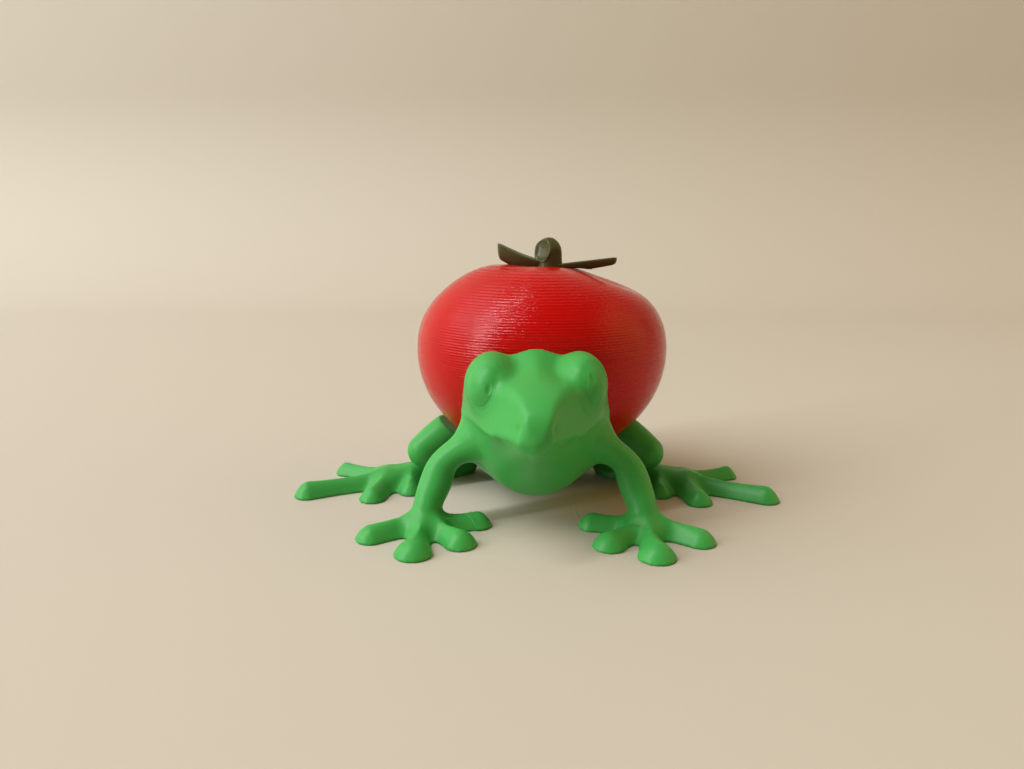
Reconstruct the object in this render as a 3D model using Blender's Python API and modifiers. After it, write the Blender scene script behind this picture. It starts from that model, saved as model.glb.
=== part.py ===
"""Printed plastic tomato frog: a green frog with splayed toes that carries a red tomato as its back.

The frog faces -Y and stands on the floor at z = 0. Sizes are in millimetres and become metres
through the factor MM. The frog is even about x = 0; the tomato sits a little to its left (+X).
"""
import math

import bpy
import bmesh
from mathutils import Matrix, Vector

MM = 0.001
GAP = 0.3                      # slit between pieces that touch
SIDES = {"left": 1, "right": -1}

# Tomato: centre, half sizes and the four lobes round its shoulder
TOMATO_X = 0.7
TOMATO_Y = 5.8
TOMATO_Z = 18.0                # height of the widest ring
TOMATO_RADIUS = 15.5
TOMATO_RISE = 10.6             # widest ring to the shoulder
TOMATO_DROP = 13.7             # widest ring to the bottom
TOMATO_DIMPLE = 0.8
DIMPLE_RADIUS = 3.0
TOMATO_SEGMENTS = 44
FURROWS_DEG = (88, 168, 236, 336)   # turned from the front towards +X
FURROW_DEPTHS = (1.0, 0.7, 0.7, 0.2)
FURROW_WIDTH_DEG = 24.0
FURROW_REACH = 0.5             # furrows are deepest at this share of the radius
FURROW_SPAN = 0.24
SHOULDER_LIFT = 0.5            # the shoulder is this much higher towards -X
FRONT_LIFT = 0.42              # and this much higher in front
FRONT_LIFT_DEG = (8.0, 45.0)   # middle and spread of the part that is lifted in front
BOTTOM_FLAT = 0.9              # cut off the bottom, under the frog's seat
UPPER_POWER = 2.25             # above the widest ring the section is fuller than an ellipse

# Calyx and stem
CALYX_X = 1.5
CALYX_Y = 6.0
CALYX_Z = 28.15
HUB_RADIUS = 2.1
HUB_HALF_HEIGHT = 0.75
# Each sepal: direction in degrees, length, rise of its tip, half width, half thickness
SEPALS = ((-96, 6.3, 2.0, 1.2, 0.6), (82, 8.4, 0.9, 0.95, 0.4), (106, 5.7, -0.4, 1.0, 0.4),
          (150, 6.4, -0.3, 1.0, 0.4), (-156, 6.2, 0.1, 1.0, 0.4))
# Share of a sepal's width at the hub, its gain outwards, its loss and the power of the loss
SEPAL_WIDTHS = (0.75, 0.9, 1.45, 2.2)
SEPAL_THICKNESS = (1.15, 0.35)   # share of the thickness at the hub and its loss towards the tip
SEPAL_RISE_POWER = 1.7           # most of the rise is near the tip
SEPAL_BASE = 0.1                 # above the middle of the hub
SEPAL_STEPS = 12
SEPAL_CORNERS = 12
STEM_POINTS = ((1.75, 6.2, 28.8), (1.85, 6.15, 29.4), (1.8, 6.0, 29.9), (1.4, 5.6, 30.2), (0.9, 5.2, 30.0))
STEM_RADII = (1.6, 1.5, 1.45, 1.42, 1.4)
STEM_TRIANGLES = 320
SEAT_DEPTH = 4.0
SEAT_SEGMENTS = 24

# Head and trunk: (y, half width, height of the widest line, top, bottom)
HEAD_RINGS = ((-21.1, 0.7, 13.0, 13.9, 12.6), (-20.75, 1.5, 12.8, 15.0, 12.2), (-20.0, 2.3, 12.6, 15.9, 11.4),
              (-18.0, 3.5, 12.4, 17.05, 10.4), (-15.5, 4.7, 12.3, 18.0, 8.9), (-13.0, 5.8, 12.6, 18.8, 6.8),
              (-10.5, 6.9, 12.9, 20.0, 4.3), (-8.0, 7.7, 12.9, 20.8, 3.5), (-5.5, 8.1, 12.9, 20.6, 3.7),
              (-3.0, 8.0, 12.9, 19.6, 4.3))
TRUNK_RINGS = ((-9.4, 1.5, 8.0, 8.5, 7.5), (-8.5, 6.2, 8.0, 13.3, 6.5), (-5.0, 6.8, 8.2, 12.6, 4.7),
               (-1.0, 7.3, 7.6, 10.4, 3.3), (4.0, 8.2, 6.8, 9.8, 1.8), (8.5, 8.5, 6.4, 9.8, 0.2),
               (12.0, 7.6, 5.6, 9.4, -0.6), (15.0, 5.8, 5.2, 8.6, -0.3), (17.0, 3.9, 4.9, 7.3, 1.4),
               (18.2, 2.0, 5.0, 6.3, 3.3), (18.5, 0.8, 5.0, 5.6, 4.3))
RING_POINTS = 32
# Powers of the rings' upper and lower halves: 2 is an ellipse, more is fuller, less comes to a keel
HEAD_POWERS = (2.8, 1.9)
TRUNK_POWERS = (2.3, 3.2)

# Eyes: a long bulge on each top corner of the head, with an upright oval eye set in its outer front
BROW = (4.8, -10.4, 16.7)
BROW_SIZE = (2.75, 4.0, 3.45)
EYE = (6.0, -12.9, 16.95)
EYE_SIZE = (2.05, 0.95, 2.4)
EYE_SEGMENTS = 14
EYE_TURN_DEG = 42.0            # the eye looks this far out from straight ahead

# Arm of the frog's left side; the right one mirrors it
SHOULDER_BALL = (5.9, -7.4, 10.8)
SHOULDER_SIZE = (2.5, 2.6, 2.9)
SHOULDER = (6.2, -8.4, 10.1)
UPPER_ARM = (8.7, -8.5, 8.6)
ELBOW = (10.5, -8.5, 6.7)
FOREARM = (11.05, -8.9, 5.2)
WRIST = (11.7, -9.9, 3.5)
ARM_END = (12.1, -10.9, 1.5)
ARM_RADII = (2.3, 1.55, 1.65, 1.8, 1.65, 1.6)
PALM = (12.15, -11.1, 0.7)
PALM_SIZE = (2.6, 2.3, 1.8)
# Fingers and toes: root, tip, then half widths on the floor and heights, both at root, middle and tip
FINGERS = (((12.9, -10.9), (17.65, -13.3), (1.7, 1.5, 1.9), (3.1, 2.3, 1.75)),
           ((12.2, -11.5), (12.5, -17.2), (1.5, 1.45, 2.2), (2.5, 1.9, 1.8)),
           ((11.5, -11.2), (7.95, -14.6), (1.6, 1.45, 2.0), (2.5, 2.0, 1.85)),
           ((11.2, -10.5), (6.45, -9.2), (1.6, 1.4, 1.75), (2.6, 2.0, 1.9)))
TOE_SLOPE = 0.6                # run of a finger's or toe's side for each unit of its rise
TOE_SEGMENTS = 20
TOE_SUNK = 0.4                 # reach below the floor, which is trimmed off

# Leg of the frog's left side
HIP = (5.0, 9.6, 7.2)
THIGH = (9.8, 7.0, 7.3)
KNEE = (14.4, 4.2, 4.9)
THIGH_RADII = (2.8, 2.6, 1.95)
SHIN_TOP = (14.3, 4.6, 4.4)
SHIN = (11.8, 7.6, 3.4)
ANKLE = (9.8, 10.3, 2.2)
SHIN_RADII = (1.9, 2.0, 1.9)
HEEL = (9.9, 10.4, 1.2)
HEEL_SIZE = (2.1, 1.8, 1.7)
SOLE = ((11.0, 9.8), (18.9, 4.7), (2.0, 2.7, 3.3), (2.8, 2.55, 2.25))
TOES = (((16.2, 6.0), (15.75, 1.35), (1.5, 1.3, 1.35), (2.2, 2.0, 1.85)),
        ((19.0, 4.0), (20.0, -1.15), (1.8, 1.7, 1.8), (2.2, 1.95, 1.8)),
        ((19.4, 4.4), (28.3, -0.1), (2.0, 1.6, 1.85), (2.3, 1.95, 2.05)),
        ((19.2, 5.9), (25.6, 8.8), (1.8, 1.3, 1.5), (2.2, 1.8, 1.85)))

# Meshing of the frog
VOXEL = 0.3
SMOOTH_STEPS = 6
FROG_TRIANGLES = 4000
SPECK_FACES = 40
WELD = 0.002                   # points closer than this are one
FLOOR_SNAP = 1e-8              # metres, for the cut along the floor
CALYX_VOXEL = 0.2
CALYX_SMOOTH_STEPS = 2
CALYX_TRIANGLES = 480

# Thin cuts that part the frog: centre, direction across the cut, half sizes of the plate
ARM_CUTS = (((7.75, -8.2, 9.8), (1.0, 0.0, -0.1), (4.6, 4.6)),
            ((10.6, -8.5, 6.75), (0.5, -0.1, -0.86), (2.9, 2.9)),
            ((11.75, -9.9, 3.4), (0.2, -0.5, -0.84), (2.7, 2.7)))
LEG_CUTS = (((7.95, 7.5, 6.0), (1.0, 0.0, 0.0), (6.5, 6.5)),
            ((12.9, 6.4, 5.2), (0.2, 0.0, -0.98), (4.9, 4.8)),
            ((13.0, 7.4, 2.8), (0.0, 0.0, -1.0), (4.8, 5.2)))
NECK_CUT = ((0.0, -9.1, 12.3), (0.0, 0.857, -0.514), (9.2, 10.6))

# A point inside each piece of the frog's left side, by which the parted pieces are told apart
PLACES = {"upper_arm": (9.6, -8.5, 8.4), "forearm": (11.3, -8.9, 5.0), "hand": (12.4, -12.3, 1.2),
          "thigh": (11.5, 6.2, 9.0), "shank": (14.6, 2.5, 4.2), "foot": (19.9, -1.0, 0.0)}
MIDDLE_PLACES = {"head": (0.0, -14.0, 15.0), "trunk": (0.0, -7.0, 7.0)}

GREEN = (0.075, 0.36, 0.065)
RED = (0.52, 0.012, 0.010)
DARK_GREEN = (0.022, 0.030, 0.012)
GREEN_ROUGHNESS = 0.42
RED_ROUGHNESS = 0.38
DARK_GREEN_ROUGHNESS = 0.4


def clear_scene():
    for obj in list(bpy.data.objects):
        bpy.data.objects.remove(obj, do_unlink=True)


def make_collection(name):
    collection = bpy.data.collections.new(name)
    bpy.context.scene.collection.children.link(collection)
    return collection


def make_material(name, color, roughness):
    material = bpy.data.materials.new(name)
    material.use_nodes = True
    shader = material.node_tree.nodes["Principled BSDF"]
    shader.inputs["Base Color"].default_value = (*color, 1.0)
    shader.inputs["Roughness"].default_value = roughness
    shader.inputs["Metallic"].default_value = 0.0
    return material


def object_from_bmesh(name, bm, collection):
    mesh = bpy.data.meshes.new(name)
    bm.to_mesh(mesh)
    bm.free()
    obj = bpy.data.objects.new(name, mesh)
    collection.objects.link(obj)
    return obj


def evaluated_copy(obj, name, collection):
    """Return a plain mesh object with the modifiers or the curve of obj worked out, and remove obj."""
    bpy.context.view_layer.update()
    graph = bpy.context.evaluated_depsgraph_get()
    mesh = bpy.data.meshes.new_from_object(obj.evaluated_get(graph))
    place = obj.matrix_world.copy()
    bpy.data.objects.remove(obj, do_unlink=True)
    copy = bpy.data.objects.new(name, mesh)
    copy.matrix_world = place
    collection.objects.link(copy)
    return copy


def weld(obj):
    bm = bmesh.new()
    bm.from_mesh(obj.data)
    bmesh.ops.remove_doubles(bm, verts=bm.verts, dist=WELD * MM)
    bm.to_mesh(obj.data)
    bm.free()


def mirrored(point, side):
    return (point[0] * side, point[1], point[2])


def tube(name, points, radii, collection, steps=6):
    """Round limb: a smooth curve through the points, with a radius at each of them and flat ends."""
    curve = bpy.data.curves.new(name, "CURVE")
    curve.dimensions = "3D"
    curve.bevel_depth = MM
    curve.bevel_resolution = 3
    curve.use_fill_caps = True
    curve.resolution_u = steps
    spline = curve.splines.new("BEZIER")
    spline.bezier_points.add(len(points) - 1)
    for bezier, point, radius in zip(spline.bezier_points, points, radii):
        bezier.co = Vector(point) * MM
        bezier.radius = radius
        bezier.handle_left_type = "AUTO"
        bezier.handle_right_type = "AUTO"
    obj = bpy.data.objects.new(name, curve)
    collection.objects.link(obj)
    copy = evaluated_copy(obj, name, collection)
    weld(copy)
    return copy


def ball(name, centre, size, collection, turn_deg=0.0, segments=28):
    """Ellipsoid with the half sizes given, turned about the upright axis."""
    bm = bmesh.new()
    bmesh.ops.create_uvsphere(bm, u_segments=segments, v_segments=segments // 2 + 2, radius=1.0)
    place = Matrix.Translation(Vector(centre) * MM)
    turn = Matrix.Rotation(math.radians(turn_deg), 4, "Z")
    scale = Matrix.Diagonal((size[0] * MM, size[1] * MM, size[2] * MM, 1.0))
    bm.transform(place @ turn @ scale)
    return object_from_bmesh(name, bm, collection)


def power(value, exponent):
    return math.copysign(abs(value) ** exponent, value)


def ringed_body(name, rings, powers, collection):
    """Loft along Y: each ring is a rounded outline with its own width, top, bottom and widest line."""
    bm = bmesh.new()
    loops = []
    for y, half_width, widest, top, bottom in rings:
        loop = []
        for step in range(RING_POINTS):
            angle = 2 * math.pi * step / RING_POINTS
            upper = math.sin(angle) > 0
            exponent = 2 / powers[0 if upper else 1]
            rise = (top - widest) if upper else (widest - bottom)
            across = half_width * power(math.cos(angle), exponent)
            up = widest + rise * power(math.sin(angle), exponent)
            loop.append(bm.verts.new((across * MM, y * MM, up * MM)))
        loops.append(loop)
    for front, back in zip(loops, loops[1:]):
        for step in range(RING_POINTS):
            after = (step + 1) % RING_POINTS
            bm.faces.new((front[step], front[after], back[after], back[step]))
    bm.faces.new(loops[0])
    bm.faces.new(reversed(loops[-1]))
    bmesh.ops.recalc_face_normals(bm, faces=bm.faces)
    return object_from_bmesh(name, bm, collection)


def join(name, objects, collection):
    """Put the meshes of several objects into one object, as they stand in the world."""
    bm = bmesh.new()
    for obj in objects:
        mesh = obj.data.copy()
        mesh.transform(obj.matrix_world)
        bm.from_mesh(mesh)
        bpy.data.meshes.remove(mesh)
        bpy.data.objects.remove(obj, do_unlink=True)
    return object_from_bmesh(name, bm, collection)


def fuse(obj, voxel, smooth_steps, triangles, collection):
    """Melt overlapping shapes into one skin, round its inner corners and thin its triangles."""
    remesh = obj.modifiers.new("Remesh", "REMESH")
    remesh.mode = "VOXEL"
    remesh.voxel_size = voxel * MM
    smooth = obj.modifiers.new("Smooth", "SMOOTH")
    smooth.factor = 0.5
    smooth.iterations = smooth_steps
    name = obj.name
    fine = evaluated_copy(obj, name, collection)
    fine.data.calc_loop_triangles()
    thin = fine.modifiers.new("Decimate", "DECIMATE")
    thin.ratio = min(1.0, triangles / len(fine.data.loop_triangles))
    return evaluated_copy(fine, name, collection)


def subtract(obj, cutters, collection):
    """Cut the cutters out of obj with an exact Boolean, one after the other."""
    name = obj.name
    for cutter in cutters:
        cut = obj.modifiers.new("Cut", "BOOLEAN")
        cut.operation = "DIFFERENCE"
        cut.solver = "EXACT"
        cut.object = cutter
    return evaluated_copy(obj, name, collection)


def mark_cutter(obj):
    obj.hide_render = True
    obj.display_type = "WIRE"


def trim_floor(obj):
    """Cut everything below z = 0 away, which leaves small flats for the frog to stand on."""
    bm = bmesh.new()
    bm.from_mesh(obj.data)
    geometry = bm.verts[:] + bm.edges[:] + bm.faces[:]
    bmesh.ops.bisect_plane(bm, geom=geometry, dist=FLOOR_SNAP, plane_co=(0, 0, 0), plane_no=(0, 0, -1),
                           clear_outer=True)
    rim = [edge for edge in bm.edges if edge.is_boundary]
    bmesh.ops.holes_fill(bm, edges=rim, sides=0)
    bmesh.ops.recalc_face_normals(bm, faces=bm.faces)
    bm.to_mesh(obj.data)
    bm.free()


def slab(name, centre, normal, half_sizes, collection):
    """Thin flat plate across the direction given: the slit between two pieces."""
    bm = bmesh.new()
    bmesh.ops.create_cube(bm, size=2.0)
    turn = Vector((0, 0, 1)).rotation_difference(Vector(normal)).to_matrix().to_4x4()
    scale = Matrix.Diagonal((half_sizes[0] * MM, half_sizes[1] * MM, GAP / 2 * MM, 1.0))
    bm.transform(Matrix.Translation(Vector(centre) * MM) @ turn @ scale)
    obj = object_from_bmesh(name, bm, collection)
    mark_cutter(obj)
    return obj


def tomato_mesh(name, grow, collection):
    """Turned body with a fuller shoulder above the widest ring, furrows between lobes and a dimple on top."""
    bm = bmesh.new()
    bmesh.ops.create_uvsphere(bm, u_segments=TOMATO_SEGMENTS, v_segments=TOMATO_SEGMENTS // 2, radius=1.0)
    for vert in bm.verts:
        direction = vert.co.normalized()
        upper = direction.z > 0
        exponent = UPPER_POWER if upper else 2.0
        level = power(direction.z, 2 / exponent)
        ring = math.hypot(direction.x, direction.y)
        reach = ring ** (2 / exponent)
        turn = math.degrees(math.atan2(direction.x, -direction.y)) % 360
        ahead = ((turn + 180) % 360 - 180 - FRONT_LIFT_DEG[0]) / FRONT_LIFT_DEG[1]
        sink = SHOULDER_LIFT * math.sin(math.radians(turn)) - FRONT_LIFT * math.exp(-ahead ** 2)
        for furrow, depth in zip(FURROWS_DEG, FURROW_DEPTHS):
            away = (turn - furrow + 180) % 360 - 180
            sink += depth * math.exp(-(away / FURROW_WIDTH_DEG) ** 2)
        fade = math.exp(-((reach - FURROW_REACH) / FURROW_SPAN) ** 2) if upper else 0.0
        height = TOMATO_RISE if upper else TOMATO_DROP
        dimple = TOMATO_DIMPLE * math.exp(-(reach * TOMATO_RADIUS / DIMPLE_RADIUS) ** 2) if upper else 0.0
        radius = TOMATO_RADIUS * reach + grow * ring
        up = TOMATO_Z + height * level + grow * direction.z - sink * fade - dimple
        across = 1.0 / max(ring, 1e-6)
        vert.co = Vector((TOMATO_X + radius * direction.x * across,
                          TOMATO_Y + radius * direction.y * across, up)) * MM
    bottom = (TOMATO_Z - TOMATO_DROP + BOTTOM_FLAT) * MM
    geometry = bm.verts[:] + bm.edges[:] + bm.faces[:]
    bmesh.ops.bisect_plane(bm, geom=geometry, plane_co=(0, 0, bottom - grow * MM), plane_no=(0, 0, -1),
                           clear_outer=True)
    bmesh.ops.holes_fill(bm, edges=[edge for edge in bm.edges if edge.is_boundary], sides=0)
    bmesh.ops.recalc_face_normals(bm, faces=bm.faces)
    return object_from_bmesh(name, bm, collection)


def toe(root, tip, half_widths, heights, side, collection):
    """Finger or toe that lies on the floor: truncated cones at its root, middle and tip, wrapped in a
    convex hull two by two."""
    middle = [(a + b) / 2 for a, b in zip(root, tip)]
    stations = list(zip((root, middle, tip), half_widths, heights))
    pieces = []
    for pair in zip(stations, stations[1:]):
        cones = bmesh.new()
        for (x, y), half_width, height in pair:
            foot = (half_width + TOE_SLOPE * TOE_SUNK) * MM
            crest = (half_width - TOE_SLOPE * height) * MM
            place = Matrix.Translation(Vector((x * side, y, (height - TOE_SUNK) / 2)) * MM)
            bmesh.ops.create_cone(cones, segments=TOE_SEGMENTS, radius1=foot, radius2=crest,
                                  depth=(height + TOE_SUNK) * MM, matrix=place)
        hull = bmesh.new()
        for vert in cones.verts:
            hull.verts.new(vert.co)
        cones.free()
        bmesh.ops.convex_hull(hull, input=hull.verts)
        inner = [vert for vert in hull.verts if not vert.link_faces]
        bmesh.ops.delete(hull, geom=inner, context="VERTS")
        bmesh.ops.recalc_face_normals(hull, faces=hull.faces)
        pieces.append(object_from_bmesh("toe", hull, collection))
    return pieces


def frog_shapes(collection):
    """All overlapping shapes of the whole frog: head, trunk, arms, legs, fingers and toes."""
    shapes = [ringed_body("head", HEAD_RINGS, HEAD_POWERS, collection),
              ringed_body("trunk", TRUNK_RINGS, TRUNK_POWERS, collection)]
    for side in SIDES.values():
        shapes.append(ball("brow", mirrored(BROW, side), BROW_SIZE, collection))
        shapes.append(ball("shoulder", mirrored(SHOULDER_BALL, side), SHOULDER_SIZE, collection))
        arm = [mirrored(point, side) for point in (SHOULDER, UPPER_ARM, ELBOW, FOREARM, WRIST, ARM_END)]
        shapes.append(tube("arm", arm, ARM_RADII, collection))
        shapes.append(ball("palm", mirrored(PALM, side), PALM_SIZE, collection))
        thigh = [mirrored(point, side) for point in (HIP, THIGH, KNEE)]
        shapes.append(tube("thigh", thigh, THIGH_RADII, collection))
        shapes.append(ball("knee", mirrored(KNEE, side), (THIGH_RADII[-1],) * 3, collection))
        shin = [mirrored(point, side) for point in (SHIN_TOP, SHIN, ANKLE)]
        shapes.append(tube("shin", shin, SHIN_RADII, collection))
        shapes.append(ball("heel", mirrored(HEEL, side), HEEL_SIZE, collection))
        for digit in FINGERS + TOES + (SOLE,):
            shapes += toe(*digit, side, collection)
    return shapes


def eye_shape(name, side, grow, collection):
    """Upright oval lens in the outer front of the brow."""
    size = [half + grow for half in EYE_SIZE]
    turn = side * EYE_TURN_DEG
    return ball(name, mirrored(EYE, side), size, collection, turn_deg=turn, segments=EYE_SEGMENTS)


def part_frog(frog, model, cutters):
    """Cut the whole frog at its joints and name each loose piece by the place it holds."""
    slabs = [slab("neck_cut", *NECK_CUT, cutters)]
    for side in SIDES.values():
        for centre, normal, half_sizes in ARM_CUTS + LEG_CUTS:
            middle = mirrored(centre, side)
            across = mirrored(normal, side)
            slabs.append(slab("limb_cut", middle, across, half_sizes, cutters))
    frog = subtract(frog, slabs, model)
    bm = bmesh.new()
    bm.from_mesh(frog.data)
    bmesh.ops.dissolve_degenerate(bm, dist=WELD * MM, edges=bm.edges)
    bmesh.ops.triangulate(bm, faces=bm.faces)
    bm.faces.index_update()
    bpy.data.objects.remove(frog, do_unlink=True)
    places = {name: Vector(place) * MM for name, place in MIDDLE_PLACES.items()}
    for side_name, side in SIDES.items():
        for name, place in PLACES.items():
            places[f"{name}_{side_name}"] = Vector(mirrored(place, side)) * MM
    pieces = split_islands(bm)
    bm.free()
    named = {}
    for name, place in places.items():
        best = min(pieces, key=lambda piece: nearest(piece, place))
        named.setdefault(id(best), (name, best))
    return [object_from_bmesh(name, piece, model) for name, piece in named.values()]


def split_islands(bm):
    """Return one bmesh for each connected island, apart from specks."""
    bm.faces.ensure_lookup_table()
    seen = set()
    islands = []
    for face in bm.faces:
        if face.index in seen:
            continue
        seen.add(face.index)
        island = [face]
        for member in island:
            for edge in member.edges:
                for other in edge.link_faces:
                    if other.index not in seen:
                        seen.add(other.index)
                        island.append(other)
        if len(island) < SPECK_FACES:
            continue
        kept = {member.index for member in island}
        piece = bm.copy()
        others = [member for member in piece.faces if member.index not in kept]
        bmesh.ops.delete(piece, geom=others, context="FACES")
        islands.append(piece)
    return islands


def nearest(piece, place):
    return min((vert.co - place).length for vert in piece.verts)


def stem_seat(collection):
    """Flat-bottomed round pocket that the stem stands in."""
    bm = bmesh.new()
    radius = (STEM_RADII[0] + GAP) * MM
    bmesh.ops.create_cone(bm, cap_ends=True, segments=SEAT_SEGMENTS, radius1=radius, radius2=radius,
                          depth=SEAT_DEPTH * MM)
    x, y, z = STEM_POINTS[0]
    bm.transform(Matrix.Translation(Vector((x, y, z - GAP + SEAT_DEPTH / 2)) * MM))
    return object_from_bmesh("stem_seat", bm, collection)


def make_calyx(model, cutters):
    """Flat hub with five tapering sepals that curve up or down towards their tips. It is fitted to
    the tomato and to the foot of the stem."""
    hub_size = (HUB_RADIUS, HUB_RADIUS, HUB_HALF_HEIGHT)
    shapes = [ball("hub", (CALYX_X, CALYX_Y, CALYX_Z), hub_size, model)]
    root_width, gain, loss, loss_power = SEPAL_WIDTHS
    for turn_deg, length, rise, half_width, half_thickness in SEPALS:
        out = Vector((math.sin(math.radians(turn_deg)), -math.cos(math.radians(turn_deg)), 0.0))
        side = Vector((-out.y, out.x, 0.0))
        bm = bmesh.new()
        loops = []
        for step in range(SEPAL_STEPS + 1):
            along = step / SEPAL_STEPS
            taper = root_width + gain * along - loss * along ** loss_power
            thickness = half_thickness * (SEPAL_THICKNESS[0] - SEPAL_THICKNESS[1] * along)
            centre = Vector((CALYX_X, CALYX_Y, CALYX_Z + SEPAL_BASE)) + out * length * along
            centre.z += rise * along ** SEPAL_RISE_POWER
            loop = []
            for corner in range(SEPAL_CORNERS):
                angle = 2 * math.pi * corner / SEPAL_CORNERS
                spot = centre + side * half_width * taper * math.cos(angle)
                spot.z += thickness * math.sin(angle)
                loop.append(bm.verts.new(spot * MM))
            loops.append(loop)
        for front, back in zip(loops, loops[1:]):
            for corner in range(SEPAL_CORNERS):
                after = (corner + 1) % SEPAL_CORNERS
                bm.faces.new((front[corner], front[after], back[after], back[corner]))
        bm.faces.new(loops[0])
        bm.faces.new(reversed(loops[-1]))
        bmesh.ops.recalc_face_normals(bm, faces=bm.faces)
        shapes.append(object_from_bmesh("sepal", bm, model))
    calyx = fuse(join("calyx", shapes, model), CALYX_VOXEL, CALYX_SMOOTH_STEPS, CALYX_TRIANGLES, model)
    return subtract(calyx, cutters, model)


def main():
    clear_scene()
    model = make_collection("tomato_frog")
    cutters = make_collection("cutters")
    green = make_material("green_plastic", GREEN, GREEN_ROUGHNESS)
    red = make_material("red_plastic", RED, RED_ROUGHNESS)
    dark = make_material("dark_green_plastic", DARK_GREEN, DARK_GREEN_ROUGHNESS)

    frog = fuse(join("frog", frog_shapes(model), model), VOXEL, SMOOTH_STEPS, FROG_TRIANGLES, model)
    trim_floor(frog)
    hollow = tomato_mesh("tomato_hollow", GAP, cutters)
    sockets = [eye_shape("socket", side, GAP, cutters) for side in SIDES.values()]
    seat = stem_seat(cutters)
    for cutter in [hollow, seat] + sockets:
        mark_cutter(cutter)
    frog = subtract(frog, [hollow] + sockets, model)
    pieces = part_frog(frog, model, cutters)
    pieces += [eye_shape(f"eye_{name}", side, 0.0, model) for name, side in SIDES.items()]
    for piece in pieces:
        piece.data.materials.append(green)

    tomato = tomato_mesh("tomato", 0.0, model)
    tomato.data.materials.append(red)
    calyx = make_calyx(model, [hollow, seat])
    stem = tube("stem", STEM_POINTS, STEM_RADII, model)
    stem = fuse(stem, CALYX_VOXEL, CALYX_SMOOTH_STEPS, STEM_TRIANGLES, model)
    for piece in (calyx, stem):
        piece.data.materials.append(dark)


main()
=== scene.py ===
"""Looks of the printed tomato frog: one green skin over the frog's solids, set eyes, a red tomato
with level print layers, its dark calyx and bent stem, and the small leftovers of the printing.

All shapes are worked out in millimetres in the frame of the solids and become metres through MM.
The frog faces -Y and is even about x = 0, so its limbs are given for its left side (+X) and mirrored.
"""
import math

import bpy
import numpy as np
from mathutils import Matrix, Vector


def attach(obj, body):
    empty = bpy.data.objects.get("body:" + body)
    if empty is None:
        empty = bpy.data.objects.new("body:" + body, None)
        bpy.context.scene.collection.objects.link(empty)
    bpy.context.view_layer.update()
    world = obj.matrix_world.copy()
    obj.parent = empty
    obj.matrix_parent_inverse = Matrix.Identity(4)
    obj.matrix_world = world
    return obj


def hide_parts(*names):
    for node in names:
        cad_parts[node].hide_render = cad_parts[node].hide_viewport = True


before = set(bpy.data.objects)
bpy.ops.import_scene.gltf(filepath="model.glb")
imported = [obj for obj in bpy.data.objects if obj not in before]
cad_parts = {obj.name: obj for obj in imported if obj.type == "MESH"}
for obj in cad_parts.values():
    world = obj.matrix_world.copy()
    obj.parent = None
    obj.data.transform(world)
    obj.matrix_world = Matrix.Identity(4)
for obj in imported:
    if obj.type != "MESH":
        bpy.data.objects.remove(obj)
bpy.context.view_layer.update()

MM = 0.001
FLESH = ["head", "trunk"] + [f"{name}_{side}" for side in ("left", "right")
                             for name in ("upper_arm", "forearm", "hand", "thigh", "shank", "foot")]

# Camera: a phone held low in front of the toy
PHOTO_WIDTH = 1024
FOCAL_PIXELS = 790.0
TOY_PIXEL_X = 536.0            # column of the photograph that holds the frog's middle plane
CAMERA_HEIGHT = 34.2
CAMERA_DISTANCE = 93.0
CAMERA_PITCH_DEG = 12.0
SENSOR_WIDTH = 36.0
NEAREST_SEEN = 0.005           # metres

# Floor, which turns up behind the toy
SWEEP_Y = 190.0
SWEEP_RADIUS = 90.0
SWEEP_STEPS = 25
STAGE_REACH = 1500.0
FLOOR_COLOR = (0.505, 0.465, 0.39)
FLOOR_ROUGHNESS = 0.7

# Light: the sky's colour and strength, and each lamp's name, azimuth (0 in front, -90 at the frog's right)
# and elevation in degrees, distance, width and height in metres, power in watts and colour
SKY_COLOR = (1.0, 0.70, 0.32, 1)
SKY_STRENGTH = 0.22
LAMPS = (("Window", -61, 41, 1.0, 0.03, 1.6, 9.8, (0.98, 0.99, 1.0)),
         ("Window side", -83, 40, 1.0, 0.75, 1.00, 7.4, (0.98, 0.98, 1.0)),
         ("Warm fill", 100, 24, 0.8, 1.1, 0.8, 3.2, (1.0, 0.66, 0.24)))
LAMP_AIM_Z = 0.012             # height in metres that they look at

# Plastics, with the depth of the fine grain in metres and the share of speckle in it against layer lines
GREEN_PRINT = {"light": (0.056, 0.375, 0.078), "dark": (0.047, 0.335, 0.064), "roughness": 0.37,
               "specular": 0.22, "depth": 3e-6, "speckle": 5.0, "subsurface": 0.25}
RED_PRINT = {"light": (0.47, 0.003, 0.003), "dark": (0.415, 0.002, 0.002), "roughness": 0.15,
             "specular": 0.20, "depth": 4e-6, "speckle": 14.0, "subsurface": 0.05}
DARK_PRINT = {"light": (0.080, 0.078, 0.026), "dark": (0.046, 0.052, 0.016), "roughness": 0.27,
              "specular": 0.22, "depth": 6e-6, "speckle": 4.0, "subsurface": 0.0}
SUBSURFACE_RADIUS = (0.6, 1.0, 0.5)
SUBSURFACE_SCALE = 0.0008
LAYER_WOBBLE = 0.00005         # metres that a layer line strays up and down
LAYER_NOISE = (260.0, 3.0)     # scale and detail of that straying
GRAIN_NOISE = (2600.0, 2.0)    # of the fine speckle
TINT_NOISE = (140.0, 4.0)      # of the change between the two colours

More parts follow.
